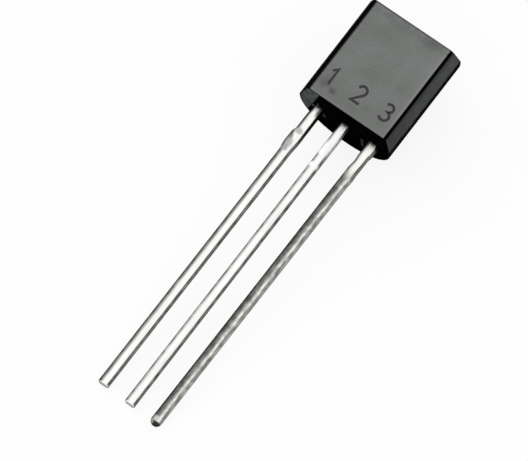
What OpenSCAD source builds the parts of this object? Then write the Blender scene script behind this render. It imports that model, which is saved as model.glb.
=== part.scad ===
// Through-hole transistor in a D-shaped moulded case with three leads in a row.
// Each piece is drawn upright, with X across the leads, Y from the flat front to the round back
// and Z up, from the middle of the flat front's lower edge. lay() then sets it down at rest: on its
// round back with the flat front up, the case's lower rim and the longest lead's tip on the ground.

/* [Case] */
// Width of the flat front, between its edge chamfers
flat_width = 3.5; // [3.3:0.05:3.7]
// Height of the flat front
flat_height = 4.4; // [4.2:0.05:4.65]
// Width across the round back
case_width = 4.25; // [4.15:0.05:4.7]
// Depth from the flat front to the back
case_depth = 3.25; // [3.1:0.05:3.6]
// Depth of the mould's parting line behind the flat front
parting_depth = 0.95; // [0.9:0.01:1.05]
// Chamfer between the flat front and each side facet
edge_chamfer = 0.12; // [0.06:0.01:0.18]
// Mould draft ahead of the parting line, in degrees
front_draft = 8; // [4:1:10]
// Mould draft behind the parting line, in degrees
back_draft = 2; // [1:1:6]

/* [Leads] */
// Distance between neighbouring leads
lead_pitch = 1.27; // [1.22:0.01:1.32]
// Width of a lead
lead_width = 0.38; // [0.34:0.01:0.46]
// Thickness of the lead frame
lead_thickness = 0.38; // [0.34:0.01:0.44]
// Length of the left lead below the case
lead_length = 13.8; // [12.7:0.1:14.5]
// How much longer the middle lead was cut
middle_lead_extra = 0.06; // [0.02:0.02:0.1]
// How much longer the right lead was cut
right_lead_extra = 0.2; // [0.12:0.02:0.3]
// Radius that stamping left on each lead's front edges
die_roll = 0.08; // [0.04:0.01:0.12]
// Width of the right lead, which is rounder than the others
round_lead_width = 0.44; // [0.4:0.01:0.46]
// Edge radius of the right lead below its shoulder
round_lead_edge = 0.15; // [0.1:0.01:0.16]

/* [Shoulders] */
// Width of a lead's shoulder, next to the case
shoulder_width = 0.46; // [0.44:0.01:0.52]
// Length of the shoulder below the case
shoulder_length = 1.7; // [1.5:0.1:2]
// How far the trimmed dam bar's stub stands out from the left lead
stub_reach = 0.05; // [0.02:0.01:0.1]
// Distance from the case to the stub
stub_start = 1.1; // [0.9:0.1:1.3]
// Length of the stub along the lead
stub_length = 1.05; // [0.8:0.05:1.2]

/* [Inside] */
// Height of the posts' feet above the flat front's lower edge
post_foot = 0.75; // [0.6:0.05:0.9]
// Width of the emitter post
emitter_post_width = 0.74; // [0.6:0.02:0.84]
// Height of the emitter post
emitter_post_height = 1.8; // [1.6:0.05:2]
// Width of the base post
base_post_width = 1.1; // [0.9:0.05:1.3]
// Height of the base post
base_post_height = 0.6; // [0.5:0.05:0.7]
// Gap between the lead frame's pieces
frame_gap = 0.28; // [0.24:0.01:0.32]
// Height of the paddle that carries the die
paddle_height = 1.9; // [1.7:0.05:2.1]
// How far the paddle reaches outwards past the middle of its lead
paddle_reach = 0.36; // [0.3:0.01:0.42]
// Diameter of the hole that locks the moulding to the paddle
lock_hole_d = 0.5; // [0.4:0.02:0.6]
// Side of the square die
die_size = 0.5; // [0.44:0.01:0.56]
// Thickness of the die
die_thickness = 0.2; // [0.15:0.01:0.25]
// Thickness of the layer that holds the die
attach_thickness = 0.025; // [0.02:0.005:0.04]
// How far that layer shows around the die
attach_margin = 0.03; // [0.02:0.005:0.05]
// Diameter of a bond wire
wire_d = 0.03; // [0.02:0.001:0.036]
// Height of a bond wire's loop above the die
loop_height = 0.22; // [0.18:0.01:0.26]

/* [Hidden] */
$fn = 96;

// The case
chamfered_half = flat_width / 2 + edge_chamfer;
half_width = case_width / 2;
back_axis = case_depth - half_width;
draft_drop = parting_depth * tan(front_draft);
back_rise = (case_depth - parting_depth) * tan(back_draft);
underside_z = -draft_drop;
back_rim_z = underside_z + back_rise;
top_z = flat_height + draft_drop;
back_top_z = top_z - back_rise;

// The lead frame lies against the parting line
frame_front = parting_depth;
frame_back = parting_depth + lead_thickness;
round_lead_end = round_lead_width / 2;
base_tip = lead_length + middle_lead_extra;
collector_tip = lead_length + right_lead_extra;

// The paddle fills the space above the base post, between the emitter post and its own lead
emitter_post_top = post_foot + emitter_post_height;
base_post_top = post_foot + base_post_height;
paddle_left = -lead_pitch + emitter_post_width / 2 + frame_gap;
paddle_right = lead_pitch + paddle_reach;
paddle_foot = base_post_top + frame_gap;
paddle_top = paddle_foot + paddle_height;
paddle_corner = 0.3;
lock_hole_x = (paddle_right + lead_pitch) / 2 - lock_hole_d / 2;
lock_hole_z = paddle_top - paddle_corner - lock_hole_d / 2;

// The die sits where both wires have a short way down
die_x = 0.15;
die_z = paddle_foot + 0.75;
die_foot = frame_front - attach_thickness;
die_face = die_foot - die_thickness;
pad_height = frame_front - die_face;
pad_offset = die_size / 5;

// A bond wire ends a little inside its post
emitter_pad = [die_x - pad_offset, die_z + pad_offset];
emitter_bond = [-lead_pitch, emitter_post_top - 0.35];
base_pad = [die_x + pad_offset, die_z - pad_offset];
base_bond = [die_x, base_post_top - 0.25];
wire_sides = 8;

// At rest the case's back rim and the longest lead's tip share the ground
tip_reach = collector_tip - underside_z;
rest_tilt = atan((case_depth - frame_back) / (tip_reach + back_rim_z));
rest_height = case_depth * cos(rest_tilt) - back_rim_z * sin(rest_tilt);
far_end = case_depth * sin(rest_tilt) + back_top_z * cos(rest_tilt);
near_end = frame_front * sin(rest_tilt) - tip_reach * cos(rest_tilt);

// Sets an upright piece down at rest, with the origin under the middle of the whole part
module lay() {
    translate([0, -(far_end + near_end) / 2, rest_height])
        rotate([rest_tilt - 90, 0, 0])
            children();
}

// ---------- Moulded case ----------

// The case seen from above: flat front, flaring side facets, round back
module case_plan() {
    intersection() {
        polygon([
            [-flat_width / 2, 0],
            [flat_width / 2, 0],
            [chamfered_half, edge_chamfer],
            [half_width, parting_depth],
            [half_width, case_depth],
            [-half_width, case_depth],
            [-half_width, parting_depth],
            [-chamfered_half, edge_chamfer]
        ]);
        union() {
            translate([0, back_axis])
                circle(r = half_width);
            translate([-half_width, 0])
                square([case_width, back_axis]);
        }
    }
}

// The case seen from the side: both ends drafted away from the parting line
module case_side() {
    polygon([
        [0, 0],
        [parting_depth, underside_z],
        [case_depth, back_rim_z],
        [case_depth, back_top_z],
        [parting_depth, top_z],
        [0, flat_height]
    ]);
}

module case_block() {
    intersection() {
        translate([0, 0, underside_z])
            linear_extrude(top_z - underside_z)
                case_plan();
        rotate([90, 0, 90])
            linear_extrude(case_width, center = true)
                case_side();
    }
}

module moulded_case() {
    color([0.1, 0.1, 0.1])
        lay()
            difference() {
                case_block();
                emitter_stamping();
                base_stamping();
                collector_stamping();
                attach_layer();
                die_block();
                wire_to_emitter();
                wire_to_base();
            }
}

// ---------- Lead frame ----------

// Cross-section of a lead, with its front edges and its back edges rounded
module lead_section(width, front_edge, back_edge) {
    x_front = width / 2 - front_edge;
    x_back = width / 2 - back_edge;
    for (side = [-1, 1]) {
        translate([side * x_front, frame_front + front_edge])
            circle(r = front_edge);
        translate([side * x_back, frame_back - back_edge])
            circle(r = back_edge);
    }
    translate([-x_front, frame_front])
        square([2 * x_front, front_edge]);
    translate([-x_back, frame_back - back_edge])
        square([2 * x_back, back_edge]);
    translate([-width / 2, frame_front + front_edge])
        square([width, lead_thickness - front_edge - back_edge]);
}

// Cross-section with square back edges, as the punch leaves it
module punched_section(width) {
    x_front = width / 2 - die_roll;
    for (side = [-1, 1])
        translate([side * x_front, frame_front + die_roll])
            circle(r = die_roll);
    translate([-x_front, frame_front])
        square([2 * x_front, die_roll]);
    translate([-width / 2, frame_front + die_roll])
        square([width, lead_thickness - die_roll]);
}

// Straight stretch of a section, from one height to another
module stretch(low, high) {
    translate([0, 0, low])
        linear_extrude(high - low)
            children();
}

// Flat piece of the lead frame, drawn as it is seen from the front
module frame_plate() {
    translate([0, frame_back, 0])
        rotate([90, 0, 0])
            linear_extrude(lead_thickness)
                children();
}

// Shoulder from inside the post or paddle to where the lead narrows
module shoulder(top) {
    stretch(underside_z - shoulder_length, top)
        punched_section(shoulder_width);
}

// Square-cut lead, which runs on inside the shoulder
module plain_lead(length) {
    stretch(underside_z - length, underside_z)
        punched_section(lead_width);
}

// What the trimmed dam bar left on one side of the left lead
module dam_stub() {
    translate([
        -shoulder_width / 2 - stub_reach,
        frame_front + die_roll,
        underside_z - stub_start - stub_length
    ])
        cube([shoulder_width / 2 + stub_reach, lead_thickness - die_roll, stub_length]);
}

module emitter_stamping() {
    translate([-lead_pitch, 0, 0]) {
        plain_lead(lead_length);
        shoulder(post_foot + emitter_post_height / 2);
        dam_stub();
        frame_plate()
            translate([-emitter_post_width / 2, post_foot])
                square([emitter_post_width, emitter_post_height]);
    }
}

module emitter_lead() {
    color([0.8, 0.8, 0.78])
        lay()
            emitter_stamping();
}

module base_stamping() {
    plain_lead(base_tip);
    shoulder(post_foot + base_post_height / 2);
    frame_plate()
        translate([-base_post_width / 2, post_foot])
            square([base_post_width, base_post_height]);
}

module base_lead() {
    color([0.8, 0.8, 0.78])
        lay()
            base_stamping();
}

// Rounder lead that ends in a half circle and runs on inside the shoulder
module round_lead(length) {
    tip_z = underside_z - length;
    intersection() {
        stretch(tip_z, underside_z)
            lead_section(round_lead_width, round_lead_edge, round_lead_edge);
        frame_plate() {
            translate([0, tip_z + round_lead_end])
                circle(r = round_lead_end);
            translate([-round_lead_end, tip_z + round_lead_end])
                square([round_lead_width, length]);
        }
    }
}

// Paddle with two cut corners, as it is seen from the front
module paddle_outline() {
    polygon([
        [paddle_left, paddle_foot],
        [paddle_right, paddle_foot],
        [paddle_right, paddle_top - paddle_corner],
        [paddle_right - paddle_corner, paddle_top],
        [paddle_left + paddle_corner, paddle_top],
        [paddle_left, paddle_top - paddle_corner]
    ]);
}

module collector_stamping() {
    translate([lead_pitch, 0, 0]) {
        round_lead(collector_tip);
        shoulder(paddle_foot + paddle_height / 2);
    }
    frame_plate()
        difference() {
            paddle_outline();
            translate([lock_hole_x, lock_hole_z])
                circle(d = lock_hole_d);
        }
}

module collector_lead() {
    color([0.8, 0.8, 0.78])
        lay()
            collector_stamping();
}

// ---------- Die ----------

// Square block on the paddle, from its foot towards the flat front
module die_stack(side, foot, height) {
    translate([die_x - side / 2, foot - height, die_z - side / 2])
        cube([side, height, side]);
}

module attach_layer() {
    die_stack(die_size + 2 * attach_margin, frame_front, attach_thickness);
}

module die_attach() {
    color([0.6, 0.58, 0.5])
        lay()
            attach_layer();
}

module die_block() {
    die_stack(die_size, die_foot, die_thickness);
}

module silicon_die() {
    color([0.35, 0.36, 0.4])
        lay()
            die_block();
}

// ---------- Bond wires ----------

// Stations of a wire that spans a distance: [along, up from the post, half width, half height].
// The ball bond stands on the die, and the stitch bond lies flat on the post.
function wire_stations(span) =
    let (r = wire_d / 2, top = pad_height + loop_height)
    [
        [0, pad_height, 2.6 * r, 2.6 * r],
        [0, pad_height + 1.2 * r, 2.6 * r, 2.6 * r],
        [0, pad_height + 2.2 * r, r, r],
        [0, top - 0.1, r, r],
        [0.04, top - 0.03, r, r],
        [0.12, top, r, r],
        [0.4 * span, top - 0.03, r, r],
        [span - 0.12, 3 * r, r, r],
        [span - 0.06, r, r, r],
        [span, r / 2, 1.8 * r, r / 2]
    ];

function direction(from, to) = (to - from) / norm(to - from);
function point_of(station) = [station[0], station[1]];

// Direction in which the wire enters and leaves a station
function arriving(stations, i) =
    direction(point_of(stations[max(i - 1, 0)]), point_of(stations[max(i, 1)]));
function leaving(stations, i) =
    let (last = len(stations) - 1)
    direction(point_of(stations[min(i, last - 1)]), point_of(stations[min(i + 1, last)]));

// Ring of points round a station, mitred between its two directions
function wire_ring(stations, i) =
    let (
        station = stations[i],
        before = arriving(stations, i),
        after = leaving(stations, i),
        along = (before + after) / norm(before + after),
        stretch_out = 1 / (along * before),
        flat_out = 1 / cos(180 / wire_sides)
    )
    [
        for (k = [0:wire_sides - 1])
            let (
                a = (k + 0.5) * 360 / wire_sides,
                out = station[3] * flat_out * stretch_out * cos(a),
                aside = station[2] * flat_out * sin(a)
            )
            [station[0] - along[1] * out, aside, station[1] + along[0] * out]
    ];

// One closed solid along the stations
module wire_body(span) {
    stations = wire_stations(span);
    last = len(stations) - 1;
    points = [for (i = [0:last]) each wire_ring(stations, i)];
    walls = [
        for (i = [0:last - 1], k = [0:wire_sides - 1])
            let (
                a = i * wire_sides + k,
                b = i * wire_sides + (k + 1) % wire_sides
            )
            each [[a, b, b + wire_sides], [a, b + wire_sides, a + wire_sides]]
    ];
    first_cap = [for (k = [wire_sides - 1:-1:0]) k];
    last_cap = [for (k = [0:wire_sides - 1]) last * wire_sides + k];
    polyhedron(points = points, faces = concat(walls, [first_cap, last_cap]));
}

// Wire from a pad on the die to a bond on a post, both given as [x, z]
module wire_between(pad, bond) {
    reach = bond - pad;
    translate([pad[0], frame_front, pad[1]])
        rotate([90, 0, 0])
            rotate([0, 0, atan2(reach[1], reach[0])])
                wire_body(norm(reach));
}

module wire_to_emitter() {
    wire_between(emitter_pad, emitter_bond);
}

module emitter_bond_wire() {
    color([0.85, 0.65, 0.2])
        lay()
            wire_to_emitter();
}

module wire_to_base() {
    wire_between(base_pad, base_bond);
}

module base_bond_wire() {
    color([0.85, 0.65, 0.2])
        lay()
            wire_to_base();
}

moulded_case();
emitter_lead();
base_lead();
collector_lead();
die_attach();
silicon_die();
emitter_bond_wire();
base_bond_wire();
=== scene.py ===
"""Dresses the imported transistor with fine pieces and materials, and lights it on a white floor.

The fine pieces are drawn upright, as in part.scad: X across the leads, Y from the flat front to the
round back, Z up, in millimetres. stand_in_frame() then gives them the resting place of the solids.
"""
from math import atan, cos, pi, radians, sin, sqrt, tan

import bmesh
import bpy
from mathutils import Matrix, Vector


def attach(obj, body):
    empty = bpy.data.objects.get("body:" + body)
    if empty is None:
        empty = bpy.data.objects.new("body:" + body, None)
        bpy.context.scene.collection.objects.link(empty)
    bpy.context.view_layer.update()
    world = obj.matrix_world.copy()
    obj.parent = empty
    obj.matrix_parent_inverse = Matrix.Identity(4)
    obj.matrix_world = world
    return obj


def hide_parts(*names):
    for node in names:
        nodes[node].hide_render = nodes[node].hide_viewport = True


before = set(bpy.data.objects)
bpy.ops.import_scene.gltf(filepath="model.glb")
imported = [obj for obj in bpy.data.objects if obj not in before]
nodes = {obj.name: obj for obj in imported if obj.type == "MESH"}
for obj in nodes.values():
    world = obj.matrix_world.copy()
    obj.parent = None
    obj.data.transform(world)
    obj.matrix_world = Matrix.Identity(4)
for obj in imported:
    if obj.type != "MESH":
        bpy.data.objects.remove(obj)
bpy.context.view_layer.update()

MM = 0.001

# ---------- Sizes of the part, in millimetres ----------

# The case
flat_width = 3.5
flat_height = 4.4
case_width = 4.25
case_depth = 3.25
parting_depth = 0.95
edge_chamfer = 0.12
front_draft = radians(8)
back_draft = radians(2)

# The leads
lead_pitch = 1.27
lead_width = 0.38
lead_thickness = 0.38
lead_length = 13.8
middle_lead_extra = 0.06
right_lead_extra = 0.2
round_lead_width = 0.44
round_lead_edge = 0.15

# The lead frame inside the case
post_foot = 0.75
emitter_post_width = 0.74
emitter_post_height = 1.8
base_post_width = 1.1
base_post_height = 0.6
frame_gap = 0.28
paddle_height = 1.9
paddle_reach = 0.36
paddle_corner = 0.3
lock_hole_d = 0.5

# Worked out from the sizes above
half_width = case_width / 2
flat_half = flat_width / 2
chamfered_half = flat_half + edge_chamfer
back_axis = case_depth - half_width
underside_z = -parting_depth * tan(front_draft)
top_z = flat_height - underside_z
back_rise = (case_depth - parting_depth) * tan(back_draft)
back_rim_z = underside_z + back_rise
back_top_z = top_z - back_rise
frame_front = parting_depth
frame_back = parting_depth + lead_thickness
paddle_left = -lead_pitch + emitter_post_width / 2 + frame_gap
paddle_right = lead_pitch + paddle_reach
paddle_foot = post_foot + base_post_height + frame_gap
paddle_top = paddle_foot + paddle_height
lock_hole_x = (paddle_right + lead_pitch) / 2 - lock_hole_d / 2
lock_hole_z = paddle_top - paddle_corner - lock_hole_d / 2

# At rest the case's back rim and the longest lead's tip share the ground
tip_reach = lead_length + right_lead_extra - underside_z
rest_tilt = atan((case_depth - frame_back) / (tip_reach + back_rim_z))
rest_height = case_depth * cos(rest_tilt) - back_rim_z * sin(rest_tilt)
far_end = case_depth * sin(rest_tilt) + back_top_z * cos(rest_tilt)
near_end = frame_front * sin(rest_tilt) - tip_reach * cos(rest_tilt)
rest_place = Vector((0, -(far_end + near_end) / 2, rest_height)) * MM
rest_turn = rest_tilt - pi / 2
AT_REST = (
    Matrix.Translation(rest_place) @ Matrix.Rotation(rest_turn, 4, "X") @ Matrix.Scale(MM, 4)
)


def stand_in_frame(name, bm, materials):
    """Makes a piece of an upright mesh in millimetres and sets it where the solids rest."""
    bmesh.ops.recalc_face_normals(bm, faces=bm.faces)
    bmesh.ops.transform(bm, matrix=AT_REST, verts=bm.verts)
    mesh = bpy.data.meshes.new(name)
    bm.to_mesh(mesh)
    bm.free()
    piece = bpy.data.objects.new(name, mesh)
    for material in materials:
        mesh.materials.append(material)
    bpy.context.scene.collection.objects.link(piece)
    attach(piece, "root")
    return piece


def below(distance):
    """Height of a point so far below the case."""
    return underside_z - distance


# ---------- Material helpers ----------


def new_material(name):
    """A material, its node tree and its shader."""
    material = bpy.data.materials.new(name)
    material.use_nodes = True
    return material, material.node_tree, material.node_tree.nodes["Principled BSDF"]


def add(tree, kind, **settings):
    """A new node with these settings."""
    node = tree.nodes.new(kind)
    for key, value in settings.items():
        setattr(node, key, value)
    return node


def feed(tree, socket, value):
    """Links a socket into another one, or writes a plain value or colour there."""
    if isinstance(value, bpy.types.NodeSocket):
        tree.links.new(value, socket)
    elif isinstance(value, tuple) and len(socket.default_value) == 4:
        socket.default_value = (*value, 1)
    else:
        socket.default_value = value


def vector_math(tree, operation, first, second):
    """Vector Math node with two inputs."""
    node = add(tree, "ShaderNodeVectorMath", operation=operation)
    feed(tree, node.inputs[0], first)
    feed(tree, node.inputs[1], second)
    return node


def arithmetic(tree, operation, *values):
    """Result of a Math node."""
    node = add(tree, "ShaderNodeMath", operation=operation)
    for socket, value in zip(node.inputs, values):
        feed(tree, socket, value)
    return node.outputs[0]


def times(tree, first, second):
    """Product of two numbers."""
    return arithmetic(tree, "MULTIPLY", first, second)


def stood_up(tree, output, place, size):
    """One of the texture coordinates, turned back from rest to upright."""
    coordinate = add(tree, "ShaderNodeTexCoord")
    mapping = add(tree, "ShaderNodeMapping", vector_type="TEXTURE")
    mapping.inputs["Location"].default_value = place
    mapping.inputs["Rotation"].default_value = (rest_turn, 0, 0)
    mapping.inputs["Scale"].default_value = (size, size, size)
    tree.links.new(coordinate.outputs[output], mapping.inputs["Vector"])
    return mapping.outputs["Vector"]


def millimetres(tree):
    """Position on the piece, in upright millimetres."""
    return stood_up(tree, "Object", rest_place, MM)


def facing(tree):
    """The surface's upright direction, as three numbers."""
    return components(tree, stood_up(tree, "Normal", (0, 0, 0), 1))


def components(tree, vector):
    """The vector's three numbers."""
    parts = add(tree, "ShaderNodeSeparateXYZ")
    tree.links.new(vector, parts.inputs[0])
    return parts.outputs


def grain(tree, place, scale, detail, stretch=(1, 1, 1)):
    """Noise of so many spots per millimetre. A stretch below 1 makes them longer that way."""
    mapping = add(tree, "ShaderNodeMapping")
    mapping.inputs["Scale"].default_value = stretch
    texture = add(tree, "ShaderNodeTexNoise")
    texture.inputs["Scale"].default_value = scale
    texture.inputs["Detail"].default_value = detail
    tree.links.new(place, mapping.inputs["Vector"])
    tree.links.new(mapping.outputs["Vector"], texture.inputs["Vector"])
    return texture.outputs["Fac"]


def uneven(tree, place, scale, amount):
    """The same place, pushed about by noise so that painted edges are ragged."""
    texture = add(tree, "ShaderNodeTexNoise")
    texture.inputs["Scale"].default_value = scale
    tree.links.new(place, texture.inputs["Vector"])
    centred = vector_math(tree, "SUBTRACT", texture.outputs["Color"], (0.5, 0.5, 0.5))
    push = vector_math(tree, "MULTIPLY", centred.outputs[0], (amount, amount, amount))
    return vector_math(tree, "ADD", place, push.outputs[0]).outputs[0]


def ramp(tree, value, stops):
    """Colour ramp through (position, grey) or (position, (r, g, b)) stops."""
    node = add(tree, "ShaderNodeValToRGB")
    elements = node.color_ramp.elements
    while len(elements) < len(stops):
        elements.new(0.5)
    for element, (position, colour) in zip(elements, stops):
        element.position = position
        rgb = colour if isinstance(colour, tuple) else (colour,) * 3
        element.color = (*rgb, 1)
    tree.links.new(value, node.inputs["Fac"])
    return node.outputs["Color"]


def step(tree, value, start, end):
    """0 before start, 1 after end, and a smooth slope between; end may come before start."""
    node = add(tree, "ShaderNodeMapRange", interpolation_type="SMOOTHSTEP")
    node.inputs["From Min"].default_value = start
    node.inputs["From Max"].default_value = end
    tree.links.new(value, node.inputs["Value"])
    return node.outputs["Result"]


def mix(tree, factor, first, second, blend="MIX"):
    """Mix of two colours. A Mix node keeps its colours at inputs 6 and 7 and at output 2."""
    node = add(tree, "ShaderNodeMix", data_type="RGBA", blend_type=blend)
    feed(tree, node.inputs[0], factor)
    feed(tree, node.inputs[6], first)
    feed(tree, node.inputs[7], second)
    return node.outputs[2]


def multiplied(tree, first, second):
    """Product of two colours."""
    return mix(tree, 1.0, first, second, "MULTIPLY")


def grey(value):
    """A grey colour."""
    return (value, value, value)


def greenish(value):
    """The faint tint of the matt moulding."""
    return (value, value * 1.035, value)


def patch(tree, place, centre, reach, soft=0.5):
    """1 inside an oval patch, falling to 0 over its soft outer part."""
    away = vector_math(tree, "SUBTRACT", place, centre)
    scaled = vector_math(tree, "DIVIDE", away.outputs[0], reach)
    length = add(tree, "ShaderNodeVectorMath", operation="LENGTH")
    tree.links.new(scaled.outputs[0], length.inputs[0])
    return step(tree, length.outputs["Value"], 1 + soft, 1 - soft)


def lay_stain_and_light(tree, colour, place, centre, reach, tone, strength, soft=0.5):
    """Lays an oval of another tone over a colour: stains and dust, and on the leads painted shade and
    light too.
    """
    cover = times(tree, patch(tree, place, centre, reach, soft), strength)
    return mix(tree, cover, colour, tone)


def give_surface(tree, shader, colour, roughness, specular):
    """Gives the shader its colour, with one roughness and one specular level all over."""
    tree.links.new(colour, shader.inputs["Base Color"])
    shader.inputs["Roughness"].default_value = roughness
    shader.inputs["Specular IOR Level"].default_value = specular


def roughen(tree, shader, height, depth, strength):
    """Bump so many millimetres deep."""
    bump = add(tree, "ShaderNodeBump")
    bump.inputs["Strength"].default_value = strength
    bump.inputs["Distance"].default_value = depth * MM
    tree.links.new(height, bump.inputs["Height"])
    tree.links.new(bump.outputs["Normal"], shader.inputs["Normal"])


# ---------- Materials of the moulding ----------

# The front's cloudy grey, from its dark spots to its pale ones
FRONT_GREYS = [
    (0.3, (0.144, 0.15, 0.143)),
    (0.5, (0.168, 0.176, 0.168)),
    (0.7, (0.184, 0.195, 0.186)),
]

# Stains on the front: centre, reach, tone and strength
FRONT_STAINS = (
    ((-1.38, 0, 0.52), (0.24, 1, 0.17), 0.1, 0.8),
    ((-0.94, 0, 0.38), (0.15, 1, 0.12), 0.07, 0.85),
    ((0, 0, 0.27), (0.18, 1, 0.12), 0.13, 0.5),
    ((0.52, 0, 0.6), (0.16, 1, 0.12), 0.13, 0.5),
    ((1.35, 0, 0.42), (0.2, 1, 0.14), 0.14, 0.4),
    ((0.95, 0, 4.12), (0.4, 1, 0.16), 0.115, 0.6),
    ((1.2, 0, 4.25), (0.35, 1, 0.13), 0.1, 0.6),
    ((-0.35, 0, 4.02), (0.4, 1, 0.18), 0.13, 0.5),
    ((1.79, 0, 4.3), (0.05, 1, 0.12), 0.01, 0.9),
)


def front_material():
    """The flat front: matt grey and cloudy, darker towards both ends, with a paler right edge and
    painted shade along its left rim.
    """
    material, tree, shader = new_material("moulding_front")
    place = millimetres(tree)
    x, _, z = components(tree, place)
    cloud = grain(tree, place, 0.8, 4)
    fine = grain(tree, place, 14, 2)
    speckle = ramp(tree, fine, [(0.35, 0.9), (0.65, 1.08)])
    colour = multiplied(tree, ramp(tree, cloud, FRONT_GREYS), speckle)
    paler_side = times(tree, step(tree, x, flat_half - 0.55, flat_half - 0.15), 0.35)
    colour = mix(tree, paler_side, colour, greenish(0.2))
    paler_edge = times(tree, step(tree, x, flat_half - 0.12, flat_half - 0.05), 0.85)
    colour = mix(tree, paler_edge, colour, greenish(0.22))
    darker_foot = times(tree, step(tree, z, 1.2, 0.3), 0.6)
    colour = mix(tree, darker_foot, colour, greenish(0.152))
    paler_foot = times(tree, step(tree, z, 0.12, 0.04), 0.35)
    colour = mix(tree, paler_foot, colour, greenish(0.2))
    broken = step(tree, grain(tree, place, 2.6, 3), 0.44, 0.6)
    margin = times(tree, step(tree, z, flat_height - 0.5, flat_height - 0.2), broken)
    colour = mix(tree, times(tree, margin, 0.7), colour, greenish(0.125))
    darker_end = step(tree, z, flat_height - 0.12, flat_height - 0.03)
    colour = mix(tree, darker_end, colour, greenish(0.085))
    # Painted shade: a near-black strip along the front's left rim widens its shaded left edge
    left_rim_shade = step(tree, x, 0.09 - flat_half, 0.05 - flat_half)
    colour = mix(tree, left_rim_shade, colour, grey(0.012))
    ragged = uneven(tree, place, 3, 0.35)
    for centre, reach, tone, strength in FRONT_STAINS:
        colour = lay_stain_and_light(tree, colour, ragged, centre, reach, greenish(tone), strength, 0.6)
    give_surface(tree, shader, colour, roughness=0.7, specular=0.3)
    roughen(tree, shader, fine, depth=0.006, strength=0.5)
    return material


def facet_material():
    """The side facets: darker than the front, browner at their feet. The left one is painted nearly
    black, as shade.
    """
    material, tree, shader = new_material("moulding_facet")
    place = millimetres(tree)
    cloud = grain(tree, place, 2.5, 4)
    fine = grain(tree, place, 16, 2)
    colour = ramp(tree, cloud, [(0.3, (0.066, 0.071, 0.07)), (0.7, (0.088, 0.095, 0.093))])
    x, y, z = components(tree, place)
    browner_foot = ramp(tree, step(tree, z, 0.2, 3.2), [(0, (0.86, 0.81, 0.78)), (1, 1.0)])
    colour = multiplied(tree, colour, browner_foot)
    beside_chamfer = times(tree, step(tree, y, 0.45, 0.15), 0.4)
    colour = mix(tree, beside_chamfer, colour, grey(0.02))
    # Painted shade: the left facet is darker than the right one
    shaded_left = step(tree, x, 0.1, -0.1)
    colour = mix(tree, shaded_left, colour, grey(0.012))
    give_surface(tree, shader, colour, roughness=0.6, specular=0.0)
    roughen(tree, shader, fine, depth=0.005, strength=0.5)
    return material


def body_material():
    """The top and the round back: dark and dull. The back is painted black towards the parting line, as
    shade.
    """
    material, tree, shader = new_material("moulding_body")
    place = millimetres(tree)
    cloud = grain(tree, place, 1.5, 4)
    fine = grain(tree, place, 18, 2)
    colour = ramp(tree, cloud, [(0.3, 0.025), (0.7, 0.038)])
    _, y, _ = components(tree, place)
    _, _, upward = facing(tree)
    # Painted shade: the back turns black near the parting line
    near_parting = step(tree, y, parting_depth + 1.5, parting_depth + 0.6)
    shade_near_parting = times(tree, near_parting, step(tree, upward, 0.6, 0.2))
    colour = mix(tree, shade_near_parting, colour, grey(0.005))
    give_surface(tree, shader, colour, roughness=0.6, specular=0.0)
    roughen(tree, shader, fine, depth=0.004, strength=0.5)
    return material


def edge_shade_material():
    """The chamfers and the strips along the parting line: black as painted shade, the right strip lifted
    to a mottled grey.
    """
    material, tree, shader = new_material("moulding_edge_shade")
    place = millimetres(tree)
    x, y, _ = components(tree, place)
    cloud = grain(tree, place, 4, 3)
    # Near-black: painted shade over the black moulding
    colour = ramp(tree, cloud, [(0.3, 0.0012), (0.7, 0.0028)])
    beside_parting = step(tree, y, parting_depth - 0.2, parting_depth - 0.1)
    right_strip = times(tree, beside_parting, step(tree, x, -0.1, 0.1))
    right_grey = ramp(tree, grain(tree, place, 5, 3), [(0.4, greenish(0.006)), (0.6, greenish(0.036))])
    colour = mix(tree, right_strip, colour, right_grey)
    give_surface(tree, shader, colour, roughness=0.8, specular=0.0)
    return material


# Yellowish dust at the leads' roots: centre, reach, tone and strength
ROOT_DUST = (
    ((-0.99, 1.62, -0.2), (0.1, 0.22, 1), 0.036, 0.9),
    ((-1.45, 1.25, -0.2), (0.07, 0.16, 1), 0.16, 0.7),
    ((-1.26, 0.86, -0.1), (0.04, 0.1, 1), 0.07, 0.8),
    ((0.81, 1.84, -0.25), (0.06, 0.45, 1), 0.05, 0.9),
    ((0.83, 1.53, -0.2), (0.05, 0.1, 1), 0.08, 0.9),
    ((1.47, 1.5, -0.2), (0.07, 0.3, 1), 0.05, 0.9),
)


def underside_material():
    """The end with the leads: deep black as painted shade, with a patch of painted light at its left and
    dust at the roots.
    """
    material, tree, shader = new_material("moulding_underside")
    place = millimetres(tree)
    cloud = grain(tree, place, 3, 4)
    # Deep black: painted shade over the black moulding
    colour = ramp(tree, cloud, [(0.35, 0.0006), (0.65, 0.0022)])
    ragged = uneven(tree, place, 6, 0.08)
    x, y, _ = components(tree, ragged)
    slant = 0.26
    rim_margin = 0.08
    slanted = arithmetic(tree, "MULTIPLY_ADD", y, slant, x)
    lit_left = times(tree, step(tree, slanted, -1.2, -1.27), step(tree, y, 0.06, 0.14))
    inside = half_width - rim_margin
    within_rim = patch(tree, place, (0, back_axis, 0), (inside, inside, 100), 0.02)
    # Painted light: a mottled bluish lit patch at the underside's left end
    bluish_painted_light = ramp(
        tree, grain(tree, place, 6, 4), [(0.34, (0.05, 0.054, 0.056)), (0.64, (0.112, 0.12, 0.125))]
    )
    colour = mix(tree, times(tree, lit_left, within_rim), colour, bluish_painted_light)
    for centre, reach, tone, strength in ROOT_DUST:
        yellowish_dust = (tone, tone, 0.86 * tone)
        colour = lay_stain_and_light(tree, colour, ragged, centre, reach, yellowish_dust, strength)
    give_surface(tree, shader, colour, roughness=0.8, specular=0.0)
    roughen(tree, shader, cloud, depth=0.004, strength=0.4)
    return material


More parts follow.
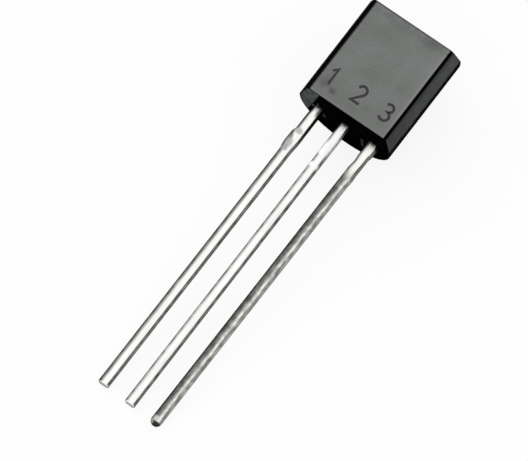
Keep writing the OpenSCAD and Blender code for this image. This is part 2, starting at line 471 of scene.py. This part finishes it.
def plain_material(name, dark, light, scale, roughness, metallic=0.0):
    """Clouded between two colours, with so many spots per millimetre."""
    material, tree, shader = new_material(name)
    place = millimetres(tree)
    cloud = grain(tree, place, scale, 3)
    colour = ramp(tree, cloud, [(0.3, dark), (0.7, light)])
    tree.links.new(colour, shader.inputs["Base Color"])
    shader.inputs["Roughness"].default_value = roughness
    shader.inputs["Metallic"].default_value = metallic
    roughen(tree, shader, cloud, depth=0.002, strength=0.3)
    return material


# ---------- Material of the leads ----------

# Tones painted on a square lead: a painted reflection of light where it faces straight ahead, and
# painted shade where it faces right
LIT_FRONT_TONE = 0.94
SHADED_SIDE_TONE = 0.42

# The colours below are painted reflection and shade, and run with the way the surface faces: 0 is left,
# 0.5 ahead and 1 right.
# How much that run wavers: little on the front, and not at all on the flat sides
WOBBLE_STOPS = [(0, 0), (0.1, 1), (0.36, 1), (0.44, 0.1), (0.56, 0.1), (0.64, 1), (0.9, 1), (1, 0)]
# The painted glint, a painted highlight, on the round lead's tip
PAINTED_GLINT_STOPS = [(0.1, 0.2), (0.3, 0.4), (0.5, 0.62), (0.66, 1.0), (0.8, 0.5), (0.9, 0.25)]
# The round lead: a long dark slope of painted shade, and a painted highlight along a ridge right of its
# middle
ROUND_SHADE_STOPS = [
    (0.0, 0.6),
    (0.03, 0.1),
    (0.2, 0.09),
    (0.304, 0.09),
    (0.39, 0.11),
    (0.475, 0.19),
    (0.53, 0.46),
    (0.6, 0.82),
    (0.68, 0.8),
    (0.76, 0.46),
    (0.82, 0.3),
    (0.88, 0.26),
    (1.0, 0.5),
]

# Stains and painted shade and light on the leads: centre, reach, tone and strength. Most darken or
# lighten the painted lines as painted shade and light, and the dark ones at the case are painted shadow
# where the leads meet it
LEFT_STAINS_AND_LIGHT = (
    ((-1.25, frame_front, -1.375), (0.16, 0.2, 0.13), 0.38, 0.85),
    ((-1.4, frame_front, -1.68), (0.05, 0.2, 0.14), 0.03, 0.9),
    ((-1.36, frame_front, -1.85), (0.1, 0.2, 0.26), 0.2, 0.85),
    ((-1.27, frame_front, -1.98), (0.12, 0.2, 0.2), 0.38, 0.85),
    ((-1.3, frame_front, -2.225), (0.12, 0.2, 0.14), 0.3, 0.85),
    ((-1.395, frame_front, -0.6), (0.05, 0.2, 0.5), 0.01, 0.9),
    ((-1.39, frame_front, -0.35), (0.09, 0.3, 0.2), 0.008, 0.9),
    ((-0.97, frame_front, below(0.75)), (0.05, 0.7, 0.8), 0.012, 0.9),
    ((-1.02, frame_front, -0.33), (0.11, 0.4, 0.24), 0.02, 0.85),
    ((-1.2, frame_front, below(0.0)), (0.3, 0.4, 0.08), 0.08, 0.9),
    ((-1.45, frame_front, below(13.72)), (0.08, 0.2, 0.12), 0.05, 0.85),
)
MIDDLE_STAINS_AND_LIGHT = (
    ((-0.13, frame_front, -1.35), (0.1, 0.2, 0.3), 0.9, 0.85),
    ((-0.13, frame_front, -1.53), (0.1, 0.2, 0.11), 0.95, 1.0),
    ((-0.13, frame_front, -2.164), (0.1, 0.2, 0.1), 0.95, 1.0),
    ((0.23, frame_front + 0.1, -1.1), (0.07, 0.24, 0.6), 0.95, 0.85),
    ((0.23, frame_front + 0.1, -2.19), (0.07, 0.24, 0.1), 0.9, 0.8),
    ((0.03, frame_front, below(0.0)), (0.14, 0.4, 0.09), 0.1, 0.9),
    ((-0.19, frame_front, below(13.78)), (0.08, 0.2, 0.1), 0.15, 0.85),
)
RIGHT_STAINS_AND_LIGHT = (
    ((1.36, frame_front, below(0.0)), (0.16, 0.4, 0.09), 0.12, 0.85),
    ((1.16, frame_front, -1.64), (0.05, 0.3, 0.12), 0.35, 0.8),
    ((1.2, frame_front, -2.18), (0.1, 0.3, 0.2), 0.14, 0.85),
    ((1.25, frame_front, -2.5), (0.05, 0.3, 0.16), 0.06, 0.85),
    ((1.12, frame_front + 0.12, -14.07), (0.08, 0.2, 0.1), 0.4, 0.8),
)


def tin_material(name, colour_of, tint, side_patchiness, end_tone, stains_and_light):
    """Bright tin, with painted reflection and shade. Its colour runs from a lead's left side, over its
    front, to its right side.

    colour_of gives that run, side_patchiness is how far patches in the painted shade on the sides stray
    from it, and end_tone is the grey of the lead's end.
    """
    material, tree, shader = new_material(name)
    place = millimetres(tree)
    _, y, z = components(tree, place)
    across, backward, upward = facing(tree)
    sideways = arithmetic(tree, "MULTIPLY_ADD", across, 0.5, 0.5)
    spots = grain(tree, place, 3.5, 3, (1, 1, 0.7))
    wobble = arithmetic(tree, "MULTIPLY_ADD", spots, 0.22, -0.11)
    wobble = times(tree, wobble, ramp(tree, sideways, WOBBLE_STOPS))
    colour = colour_of(tree, place, arithmetic(tree, "ADD", sideways, wobble), z)
    on_back = step(tree, backward, -0.02, 0.12)
    colour = mix(tree, on_back, colour, grey(0.8))
    streak = grain(tree, place, 5, 3, (1, 1, 0.12))
    colour = multiplied(tree, colour, ramp(tree, streak, [(0.3, 0.88), (0.7, 1.0)]))
    colour = multiplied(tree, colour, tint)
    on_right = step(tree, sideways, 0.6, 0.8)
    shaded_left = step(tree, sideways, 0.4, 0.25)
    on_side = arithmetic(tree, "MAXIMUM", on_right, shaded_left)
    patches = grain(tree, place, 5, 3, (1, 1, 0.6))
    # Patches that vary the painted shade on the sides
    side_patches = ramp(tree, patches, [(0.34, 1 - side_patchiness), (0.66, 1 + side_patchiness)])
    colour = mix(tree, on_side, colour, multiplied(tree, colour, side_patches))
    on_end = step(tree, upward, -0.15, -0.4)
    colour = mix(tree, on_end, colour, grey(end_tone))
    burr = times(tree, step(tree, y, frame_back - 0.16, frame_back - 0.08), on_end)
    colour = mix(tree, burr, colour, grey(0.75 * end_tone))
    ragged = uneven(tree, place, 5, 0.08)
    # Stains, and ovals of painted shade and light
    for centre, reach, tone, strength in stains_and_light:
        colour = lay_stain_and_light(tree, colour, ragged, centre, reach, grey(tone), strength)
    tree.links.new(colour, shader.inputs["Base Color"])
    shader.inputs["Metallic"].default_value = 1.0
    shader.inputs["Specular Tint"].default_value = (*grey(0.16), 1)
    roughness = ramp(tree, streak, [(0.3, 0.22), (0.7, 0.34)])
    tree.links.new(roughness, shader.inputs["Roughness"])
    roughen(tree, shader, streak, depth=0.003, strength=0.4)
    return material


def square_colour(edge, inner, turn=0.0):
    """Painted shade over a square lead's rolled left edge and its right side, and a painted reflection
    of light between them.

    edge and inner are the tones of painted shade over the rolled edge. turn moves the fall on the right
    outwards.
    """
    stops = [
        (0.0, 0.75),
        (0.03, edge),
        (0.2, edge),
        (0.334, inner),
        (0.441, (2 * inner + LIT_FRONT_TONE) / 3),
        (0.5, LIT_FRONT_TONE),
        (0.55 + turn, LIT_FRONT_TONE),
        (0.62 + turn, 0.4),
        (0.72 + turn, 0.13),
        (0.9, 0.08),
        (0.97, SHADED_SIDE_TONE),
    ]

    def colour_of(tree, place, sideways, z):
        """Takes what round_colour takes, though place and z don't matter on a square lead."""
        return ramp(tree, sideways, stops)

    return colour_of


def round_colour(tree, place, sideways, z):
    """The round lead's mottled painted shade and highlight, plain and square at its shoulder, with a
    painted glint on its tip.
    """
    spots = grain(tree, place, 8, 4, (1, 1, 0.45))
    mottle = ramp(tree, spots, [(0.34, 0.6), (0.66, 1.2)])
    slope_mottle = ramp(tree, spots, [(0.36, 0.48), (0.64, 1.36)])
    on_slope = step(tree, sideways, 0.55, 0.4)
    mottle = mix(tree, on_slope, mottle, slope_mottle)
    round_part = multiplied(tree, ramp(tree, sideways, ROUND_SHADE_STOPS), mottle)
    shoulder = square_colour(edge=0.15, inner=0.3)(tree, place, sideways, z)
    under_shoulder = step(tree, z, below(1.25), below(1.95))
    colour = mix(tree, under_shoulder, shoulder, round_part)
    # Painted highlight: the glint near the tip
    tip = below(lead_length + right_lead_extra)
    at_tip = times(tree, step(tree, z, tip + 0.4, tip + 0.3), 0.9)
    return mix(tree, at_tip, colour, ramp(tree, sideways, PAINTED_GLINT_STOPS))


# ---------- Moulded case ----------

edge_radius = 0.035
top_edge_radius = 0.015
edge_steps = 4
corner_radius = 0.05
arc_steps = 96

# The black strip of painted shade starts this far ahead of the parting line
strip_ahead = 0.07

# Material numbers of the case's faces, in the order in which make_case() gets the materials
FRONT, FACET, EDGE, BODY, UNDERSIDE = range(5)


def low_z(y):
    """Height of the underside. It drops to the parting line and rises behind it."""
    if y <= parting_depth:
        return -y * tan(front_draft)
    return underside_z + (y - parting_depth) * tan(back_draft)


def high_z(y):
    """Height of the top, drafted as the underside is."""
    return flat_height - low_z(y)


def turned_corner(before, corner, after, steps=5):
    """Rounds a corner of an outline that runs anticlockwise. Gives (point, inward) pairs."""
    first = (corner - before).normalized()
    second = (after - corner).normalized()
    turn = first.angle(second)
    setback = corner_radius * tan(turn / 2)
    inward = Vector((-first.y, first.x))
    centre = corner - first * setback + inward * corner_radius
    pairs = []
    for i in range(steps):
        way = Matrix.Rotation(turn * i / (steps - 1), 2) @ inward
        pairs.append((centre - way * corner_radius, way))
    return pairs


def sharp_corner(before, corner, after):
    """Keeps a corner. Its inward step is mitred, so that both walls move in alike."""
    first = (corner - before).normalized()
    second = (after - corner).normalized()
    inward = Vector((-first.y, first.x)) + Vector((-second.y, second.x))
    return [(corner, inward * 2 / inward.length_squared)]


def on_facet(chamfer, parting, inside):
    """Point of a facet where the black strip along the parting line starts."""
    along = (parting - chamfer).normalized()
    inward = (inside - chamfer) - along * (inside - chamfer).dot(along)
    point = parting - along * (strip_ahead / along.y)
    return [(point, inward.normalized())]


def case_outline():
    """Outline seen from above: (point, inward direction, material of the wall that follows)."""
    front_left = Vector((-flat_half, 0))
    front_right = Vector((flat_half, 0))
    chamfer_right = Vector((chamfered_half, edge_chamfer))
    chamfer_left = Vector((-chamfered_half, edge_chamfer))
    parting_right = Vector((half_width, parting_depth))
    parting_left = Vector((-half_width, parting_depth))
    axis_right = Vector((half_width, back_axis))
    axis_left = Vector((-half_width, back_axis))
    outline = []

    def append(pairs, zone_within, zone_after):
        """Adds points, with the material between them and the one after the last."""
        for point, inward in pairs[:-1]:
            outline.append((point, inward, zone_within))
        outline.append((*pairs[-1], zone_after))

    append(turned_corner(chamfer_left, front_left, front_right), EDGE, FRONT)
    append(turned_corner(front_left, front_right, chamfer_right), FRONT, EDGE)
    append(turned_corner(front_right, chamfer_right, parting_right), EDGE, FACET)
    append(on_facet(chamfer_right, parting_right, front_right), EDGE, EDGE)
    append(sharp_corner(chamfer_right, parting_right, axis_right), EDGE, BODY)
    for i in range(arc_steps + 1):
        angle = pi * i / arc_steps
        way = Vector((cos(angle), sin(angle)))
        point = Vector((0, back_axis)) + way * half_width
        outline.append((point, -way, BODY))
    append(sharp_corner(axis_left, parting_left, chamfer_left), EDGE, EDGE)
    append(on_facet(chamfer_left, parting_left, front_left), EDGE, FACET)
    append(turned_corner(parting_left, chamfer_left, front_left), EDGE, EDGE)
    return outline


def rim_rings(bm, outline, level, sign, radius):
    """Rings that round off a rim, from the case's end to its wall. sign is 1 below and -1 above."""
    rings = []
    for i in range(edge_steps + 1):
        angle = pi / 2 * i / edge_steps
        inset = radius * (1 - sin(angle))
        rise = radius * (1 - cos(angle))
        ring = []
        for point, inward, _ in outline:
            spot = point + inward * inset
            ring.append(bm.verts.new((spot.x, spot.y, level(spot.y) + sign * rise)))
        rings.append(ring)
    return rings


def make_case(materials):
    """The moulding: walls between two rounded rims, and ends that fold at the parting line."""
    bm = bmesh.new()
    outline = case_outline()
    count = len(outline)
    low = rim_rings(bm, outline, low_z, 1, edge_radius)
    high = rim_rings(bm, outline, high_z, -1, top_edge_radius)
    bands = [(low[i], low[i + 1], True) for i in range(edge_steps)]
    bands.append((low[-1], high[-1], False))
    bands += [(high[i + 1], high[i], True) for i in range(edge_steps)]
    for lower, upper, rounded in bands:
        for i, (_, _, zone) in enumerate(outline):
            j = (i + 1) % count
            face = bm.faces.new((lower[i], lower[j], upper[j], upper[i]))
            face.material_index = EDGE if rounded and zone == FACET else zone
    points = [point for point, _, _ in outline]
    right = points.index(Vector((half_width, parting_depth)))
    left = points.index(Vector((-half_width, parting_depth)))
    behind = list(range(right, left + 1))
    ahead = list(range(left, count)) + list(range(right + 1))
    for ring, zone in ((low[0], UNDERSIDE), (high[0], BODY)):
        for part in (behind, ahead):
            face = bm.faces.new([ring[i] for i in part])
            face.material_index = zone
    shade(bm, sharp_angle=radians(14))
    case = stand_in_frame("moulding", bm, materials)
    weights = case.modifiers.new("flat_faces", "WEIGHTED_NORMAL")
    weights.keep_sharp = True
    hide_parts("moulded_case")
    return case


def shade(bm, sharp_angle):
    """Smooth shading everywhere but over edges that turn further than this."""
    bmesh.ops.recalc_face_normals(bm, faces=bm.faces)
    for face in bm.faces:
        face.smooth = True
    for edge in bm.edges:
        edge.smooth = edge.is_manifold and edge.calc_face_angle() < sharp_angle


# ---------- Leads ----------

corner_steps = 9
ring_spacing = 0.08
tip_bevel = 0.03

# Corners of the leads' sections, as (across, deep). The punch leaves sharp ones
punched_edge = (0.02, 0.02)
square_right_edge = (0.06, 0.06)
round_front_left = (0.22, 0.2)
round_front_right = (0.2, 0.19)
round_back_edge = (round_lead_edge, round_lead_edge)
shoulder_front_left = (0.14, 0.1)
rolled_edge_depth = 0.1

# The round lead's tip draws in by tip_round over its last stretch, and a little more at its left
tip_round = 0.16
tip_round_length = 0.22
tip_steps = 8
worn_corner = 1.1

# How much of the square section the round lead keeps, at distances below the case
kept_square = [(0.9, 1), (2.1, 0)]


def section(left, right, front, back, corners):
    """Ring of (x, y) with oval corners: front left, front right, back right, back left."""
    signs = ((1, 1), (-1, 1), (-1, -1), (1, -1))
    starts = (pi, 1.5 * pi, 0, 0.5 * pi)
    places = ((left, front), (right, front), (right, back), (left, back))
    ring = []
    for (x, y), (rx, ry), start, (sx, sy) in zip(places, corners, starts, signs):
        for i in range(corner_steps):
            angle = start + pi / 2 * i / (corner_steps - 1)
            ring.append((x + sx * rx + rx * cos(angle), y + sy * ry + ry * sin(angle)))
    return ring


def loft(stations):
    """Closed mesh through (z, ring) stations, with flat ends."""
    bm = bmesh.new()
    rings = [[bm.verts.new((x, y, z)) for x, y in ring] for z, ring in stations]
    count = len(rings[0])
    for lower, upper in zip(rings, rings[1:]):
        for i in range(count):
            j = (i + 1) % count
            bm.faces.new((lower[i], lower[j], upper[j], upper[i]))
    bm.faces.new(rings[0])
    bm.faces.new(rings[-1])
    return bm


def heights_between(low, high):
    """Heights from low to high, the ends included, about a ring spacing apart."""
    count = max(1, round((high - low) / ring_spacing))
    return [low + (high - low) * i / count for i in range(count + 1)]


def reach_at(table, distance):
    """Smooth value at a distance below the case, through the table's (distance, value) pairs."""
    if distance <= table[0][0]:
        return table[0][1]
    for (d0, v0), (d1, v1) in zip(table, table[1:]):
        if distance <= d1:
            t = (distance - d0) / (d1 - d0)
            return v0 + (v1 - v0) * t * t * (3 - 2 * t)
    return table[-1][1]


def leaning(root_shift, tip_shift, length, distance):
    """Sideways shift of a lead that stands a little off its place and leans."""
    if distance < 0:
        return root_shift * max(0, 1 + distance / post_foot)
    return root_shift + (tip_shift - root_shift) * distance / length


def square_lead_stations(middle, left, right, length, root_shift, tip_shift, roll):
    """Stations of a square-cut lead.

    left and right are tables of its reach to each side of its middle, and roll is a table of how
    wide its rolled left edge is. Their pairs are (distance below the case, size).
    """
    tip = below(length)
    stations = []
    for z in [tip] + heights_between(tip + tip_bevel, post_foot):
        inset = tip_bevel if z == tip else 0
        distance = underside_z - z
        here = middle + leaning(root_shift, tip_shift, length, distance)
        rolled_edge = (reach_at(roll, distance), rolled_edge_depth)
        corners = (rolled_edge, square_right_edge, punched_edge, punched_edge)
        ring = section(
            here - reach_at(left, distance) + inset,
            here + reach_at(right, distance) - inset,
            frame_front + inset,
            frame_back - inset,
            corners,
        )
        stations.append((z, ring))
    return stations


def plate_stations(left, right, foot, top, cut=0.0):
    """Stations of a post or paddle, whose upper corners may be cut."""
    corners = (punched_edge,) * 4

    def ring(z, inset):
        """Station at a height, drawn in at both sides."""
        return (z, section(left + inset, right - inset, frame_front, frame_back, corners))

    stations = [ring(foot, 0)]
    if cut:
        stations.append(ring(top - cut, 0))
    stations.append(ring(top, cut))
    return stations


def make_emitter_lead(material):
    """The left lead. A stub of the bar that joined the leads stands out at its left."""
    half = lead_width / 2
    left = [
        (0, 0.182),
        (0.6, 0.186),
        (1.15, 0.186),
        (1.35, 0.25),
        (1.75, 0.262),
        (1.95, 0.25),
        (2.2, half + 0.015),
    ]
    right = [(0, 0.25), (1.1, 0.25), (1.55, 0.257), (1.8, 0.246), (2.1, half + 0.036)]
    stations = square_lead_stations(
        -lead_pitch,
        left,
        right,
        length=lead_length,
        root_shift=0.039,
        tip_shift=-0.007,
        roll=[(0.9, 0.145), (2.2, 0.19)],
    )
    post = emitter_post_width / 2
    stations += plate_stations(
        -lead_pitch - post, -lead_pitch + post, post_foot, post_foot + emitter_post_height
    )
    return finish_lead("left_lead", loft(stations), material, "emitter_lead")


def make_base_lead(material):
    """The middle lead, straight-sided and a little wider at its tip."""
    half = lead_width / 2
    stations = square_lead_stations(
        0,
        [(2, half), (lead_length, half + 0.016)],
        [(0, half + 0.006), (2.1, half + 0.006), (lead_length, half + 0.012)],
        length=lead_length + middle_lead_extra,
        root_shift=0.03,
        tip_shift=0.017,
        roll=[(0.9, 0.12), (2.2, 0.15)],
    )
    post = base_post_width / 2
    stations += plate_stations(-post, post, post_foot, post_foot + base_post_height)
    return finish_lead("middle_lead", loft(stations), material, "base_lead")


def round_lead_ring(distance, tip_distance, left, right):
    """Ring of the round lead: oval in front, squarer at its shoulder, rounded off at its tip."""
    to_tip = tip_distance - distance
    inset = tip_round * (1 - sqrt(1 - (1 - min(to_tip / tip_round_length, 1)) ** 2))
    squareness = reach_at(kept_square, distance)
    front = frame_front + inset
    back = frame_back - inset / 2
    reach_left = reach_at(left, distance) - inset * worn_corner
    reach_right = reach_at(right, distance) - inset
    widest = 0.98
    deepest = (back - front) * 0.49

    def corner(reach, round_size, square_size):
        """A corner between its round and its square size, small enough to leave room for the next."""
        size = [r + (s - r) * squareness for r, s in zip(round_size, square_size)]
        return (min(size[0], reach * widest), min(size[1], deepest))

    corners = (
        corner(reach_left, round_front_left, shoulder_front_left),
        corner(reach_right, round_front_right, square_right_edge),
        corner(reach_right, round_back_edge, punched_edge),
        corner(reach_left, round_back_edge, punched_edge),
    )
    here = lead_pitch + leaning(
        root_shift=0.066, tip_shift=-0.032, length=lead_length, distance=distance
    )
    return section(here - reach_left, here + reach_right, front, back, corners)


def make_collector_lead(material):
    """The right lead: round below its square shoulder, with a paddle inside the case."""
    half = round_lead_width / 2
    left = [(0.6, 0.182), (0.95, 0.162), (1.35, 0.205), (2.2, half - 0.004), (lead_length, half - 0.008)]
    right = [
        (0, 0.22),
        (0.15, 0.265),
        (0.42, 0.265),
        (0.62, 0.226),
        (1.3, 0.226),
        (1.65, 0.254),
        (2.2, half + 0.02),
    ]
    tip_distance = lead_length + right_lead_extra
    tip_angles = [pi / 2 * i / tip_steps for i in range(tip_steps)]
    distances = [tip_distance - tip_round_length * (1 - cos(angle)) for angle in tip_angles]
    straight_foot = below(tip_distance - tip_round_length)
    distances += [underside_z - z for z in heights_between(straight_foot, paddle_foot)]
    stations = [(below(d), round_lead_ring(d, tip_distance, left, right)) for d in distances]
    stations += plate_stations(paddle_left, paddle_right, paddle_foot, paddle_top, paddle_corner)
    bm = loft(stations)
    pierce(bm, lock_hole_x, lock_hole_z, lock_hole_d / 2)
    return finish_lead("right_lead", bm, material, "collector_lead")


def edges_round(bm, ring):
    """Edges round a ring of points, made where they are missing."""
    following = ring[1:] + ring[:1]
    return [bm.edges.get(pair) or bm.edges.new(pair) for pair in zip(ring, following)]


def pierce(bm, x, z, radius, steps=32):
    """Cuts a round hole from front to back through the flat faces of a plate."""
    rims = []
    for depth in (frame_front, frame_back):
        plate = [face for face in bm.faces if face_holds(face, x, z, depth)][0]
        outer = list(plate.verts)
        bm.faces.remove(plate)
        rim = []
        for i in range(steps):
            angle = 2 * pi * i / steps
            rim.append(bm.verts.new((x + radius * cos(angle), depth, z + radius * sin(angle))))
        edges = edges_round(bm, rim) + edges_round(bm, outer)
        bmesh.ops.triangle_fill(bm, use_beauty=True, use_dissolve=False, edges=edges)
        rims.append(rim)
    for i in range(steps):
        j = (i + 1) % steps
        bm.faces.new((rims[0][i], rims[0][j], rims[1][j], rims[1][i]))


def face_holds(face, x, z, depth):
    """Whether a face lies flat at this depth and spans the point."""
    flat = all(abs(vert.co.y - depth) < 1e-6 for vert in face.verts)
    spans_x = min(vert.co.x for vert in face.verts) < x < max(vert.co.x for vert in face.verts)
    spans_z = min(vert.co.z for vert in face.verts) < z < max(vert.co.z for vert in face.verts)
    return flat and spans_x and spans_z


def finish_lead(name, bm, material, node):
    """Shades a lead's mesh and puts it in the solid's place."""
    shade(bm, sharp_angle=radians(32))
    lead = stand_in_frame(name, bm, [material])
    weights = lead.modifiers.new("flat_faces", "WEIGHTED_NORMAL")
    weights.keep_sharp = True
    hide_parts(node)
    return lead


# ---------- Pin numbers ----------

digit_height = 0.72
digit_foot = 0.55
stroke_width = 0.11
ink_proud = 0.004
ink_sunk = 0.02

# The strokes are drawn in a box 1 high, with the digit's middle here
digit_middle = 0.3


def arc_points(cx, cy, rx, ry, start, end, steps=14):
    """Points along an oval arc, between two angles in degrees."""
    points = []
    for i in range(steps + 1):
        angle = radians(start + (end - start) * i / steps)
        points.append((cx + rx * cos(angle), cy + ry * sin(angle)))
    return points


def digit_strokes(digit):
    """Strokes of 1, 2 or 3 in a box 0.6 wide and 1 high."""
    if digit == 1:
        return [[(0.12, 0.76), (0.34, 1.0), (0.34, 0.0)]]
    if digit == 2:
        bowl = arc_points(0.3, 0.72, 0.26, 0.28, 165, -35)
        return [bowl + [(0.04, 0.0), (0.58, 0.0)]]
    upper = arc_points(0.28, 0.76, 0.24, 0.24, 150, -90)
    lower = arc_points(0.28, 0.27, 0.28, 0.27, 85, -150)
    return [upper[:-1] + [(0.26, 0.53)] + lower[1:]]


def ribbon(bm, points, width, front, back):
    """Closed flat ribbon along points on the front, with square ends."""
    mitre_limit = 0.5
    rows = []
    for i, point in enumerate(points):
        before = Vector(points[max(i - 1, 0)])
        after = Vector(points[min(i + 1, len(points) - 1)])
        here = Vector(point)
        first = (here - before).normalized() if i else (after - here).normalized()
        second = (after - here).normalized() if i < len(points) - 1 else first
        along = (first + second).normalized()
        across = Vector((-along.y, along.x)) * (width / 2 / max(along.dot(first), mitre_limit))
        left = here + across
        right = here - across
        rows.append([
            bm.verts.new((left.x, front, left.y)),
            bm.verts.new((right.x, front, right.y)),
            bm.verts.new((right.x, back, right.y)),
            bm.verts.new((left.x, back, left.y)),
        ])
    for lower, upper in zip(rows, rows[1:]):
        for i in range(4):
            j = (i + 1) % 4
            bm.faces.new((lower[i], lower[j], upper[j], upper[i]))
    bm.faces.new(rows[0])
    bm.faces.new(rows[-1])


def make_pin_numbers(material):
    """1, 2 and 3 in dark ink on the flat front, each over its lead."""
    bm = bmesh.new()
    for digit, middle in ((1, -lead_pitch), (2, 0), (3, lead_pitch)):
        for stroke in digit_strokes(digit):
            points = [
                (middle + (x - digit_middle) * digit_height, digit_foot + y * digit_height)
                for x, y in stroke
            ]
            ribbon(bm, points, stroke_width, -ink_proud, ink_sunk)
    numbers = stand_in_frame("pin_numbers", bm, [material])
    return numbers


# ---------- Camera, light and floor ----------

# Level of the soft light all round
world_level = 0.88

# Reach of the floor in metres, and the share of plain white that thins its shadow
floor_reach = 2.0
floor_white = 0.86


def make_camera():
    """Looks down on the part from the right of its leads, from far away through a long lens.

    Its numbers were fitted to the outline in the photo.
    """
    azimuth = radians(29.0991)
    elevation = radians(63.6784)
    roll = radians(-7.7664)
    distance = 0.44623
    aim = Vector((0.1533, -0.8708, 1.89)) * MM
    towards = Vector((sin(azimuth) * cos(elevation), -cos(azimuth) * cos(elevation), sin(elevation)))
    level = Vector((cos(azimuth), sin(azimuth), 0))
    upward = towards.cross(level)
    right = level * cos(roll) - upward * sin(roll)
    up = upward * cos(roll) + level * sin(roll)
    data = bpy.data.cameras.new("camera")
    data.sensor_width = 36
    data.lens = 800
    data.clip_start = 0.01
    data.clip_end = 5
    camera = bpy.data.objects.new("camera", data)
    turn = Matrix((right, up, towards)).transposed().to_4x4()
    camera.matrix_world = Matrix.Translation(aim + towards * distance) @ turn
    bpy.context.scene.collection.objects.link(camera)
    bpy.context.scene.camera = camera
    return camera


def seen_directly(tree):
    """1 for camera, glossy and transmission rays, 0 for the rays that light the part."""
    path = add(tree, "ShaderNodeLightPath")
    seen = arithmetic(tree, "MAXIMUM", path.outputs["Is Camera Ray"], path.outputs["Is Glossy Ray"])
    return arithmetic(tree, "MAXIMUM", seen, path.outputs["Is Transmission Ray"])


def make_world():
    """White where it is seen, and a plain soft light on everything."""
    world = bpy.data.worlds.new("studio")
    bpy.context.scene.world = world
    world.use_nodes = True
    tree = world.node_tree
    background = tree.nodes["Background"]
    background.inputs["Color"].default_value = (1, 1, 1, 1)
    strength = add(tree, "ShaderNodeMapRange")
    strength.inputs["To Min"].default_value = world_level
    strength.inputs["To Max"].default_value = 1.0
    tree.links.new(seen_directly(tree), strength.inputs["Value"])
    tree.links.new(strength.outputs["Result"], background.inputs["Strength"])


def make_floor():
    """Pale floor. Seen directly it is white, with the part's shadow softened but kept."""
    bm = bmesh.new()
    bmesh.ops.create_grid(bm, x_segments=1, y_segments=1, size=floor_reach)
    mesh = bpy.data.meshes.new("floor")
    bm.to_mesh(mesh)
    bm.free()
    floor = bpy.data.objects.new("floor", mesh)
    bpy.context.scene.collection.objects.link(floor)
    material, tree, shader = new_material("floor_white")
    shader.inputs["Base Color"].default_value = (0.6, 0.6, 0.6, 1)
    shader.inputs["Roughness"].default_value = 1.0
    shader.inputs["Specular IOR Level"].default_value = 0.0
    bright = add(tree, "ShaderNodeEmission")
    bright.inputs["Color"].default_value = (1, 1, 1, 1)
    pale = add(tree, "ShaderNodeBsdfDiffuse")
    pale.inputs["Color"].default_value = (1, 1, 1, 1)
    seen = add(tree, "ShaderNodeMixShader")
    seen.inputs[0].default_value = floor_white
    tree.links.new(pale.outputs[0], seen.inputs[1])
    tree.links.new(bright.outputs[0], seen.inputs[2])
    choice = add(tree, "ShaderNodeMixShader")
    tree.links.new(seen_directly(tree), choice.inputs[0])
    tree.links.new(shader.outputs[0], choice.inputs[1])
    tree.links.new(seen.outputs[0], choice.inputs[2])
    tree.links.new(choice.outputs[0], tree.nodes["Material Output"].inputs["Surface"])
    mesh.materials.append(material)
    return floor


def make_softbox(name, place, size, power):
    """Square lamp that looks at the part. Place and size are in metres, power in watts."""
    data = bpy.data.lights.new(name, "AREA")
    data.shape = "SQUARE"
    data.size = size
    data.energy = power
    lamp = bpy.data.objects.new(name, data)
    lamp.location = place
    lamp.rotation_euler = (-Vector(place)).to_track_quat("-Z", "Y").to_euler()
    bpy.context.scene.collection.objects.link(lamp)
    return lamp


# ---------- The scene ----------

make_camera()
make_world()
make_floor()
make_softbox("key", place=(-0.36, 0.1, 0.36), size=0.6, power=0.45)

make_case([
    front_material(),
    facet_material(),
    edge_shade_material(),
    body_material(),
    underside_material(),
])

left_tin = tin_material(
    "tin_left",
    square_colour(edge=0.07, inner=0.13),
    tint=(0.995, 1, 0.965),
    side_patchiness=0.5,
    end_tone=0.95,
    stains_and_light=LEFT_STAINS_AND_LIGHT,
)
middle_tin = tin_material(
    "tin_middle",
    square_colour(edge=0.25, inner=0.36, turn=0.06),
    tint=(0.995, 1, 0.975),
    side_patchiness=0.5,
    end_tone=0.95,
    stains_and_light=MIDDLE_STAINS_AND_LIGHT,
)
right_tin = tin_material(
    "tin_right",
    round_colour,
    tint=(0.985, 1, 0.94),
    side_patchiness=0.22,
    # The round lead's end is painted dark, as shade on its rounded tip
    end_tone=0.035,
    stains_and_light=RIGHT_STAINS_AND_LIGHT,
)
make_emitter_lead(left_tin)
make_base_lead(middle_tin)
make_collector_lead(right_tin)

ink = plain_material("mark_dark", grey(0.012), (0.022, 0.022, 0.021), scale=12, roughness=0.7)
make_pin_numbers(ink)

adhesive = plain_material(
    "silver_adhesive", (0.35, 0.34, 0.31), (0.6, 0.58, 0.53), scale=20, roughness=0.6
)
silicon = plain_material(
    "silicon", (0.09, 0.095, 0.12), (0.14, 0.145, 0.17), scale=6, roughness=0.15
)
gold = plain_material(
    "gold", (0.85, 0.6, 0.22), (0.95, 0.72, 0.32), scale=30, roughness=0.2, metallic=1.0
)
inner = {
    "die_attach": adhesive,
    "silicon_die": silicon,
    "emitter_bond_wire": gold,
    "base_bond_wire": gold,
}
for node, material in inner.items():
    mesh = nodes[node].data
    mesh.materials.clear()
    mesh.materials.append(material)

scene = bpy.context.scene
scene.view_settings.view_transform = "Standard"
bpy.context.view_layer.update()
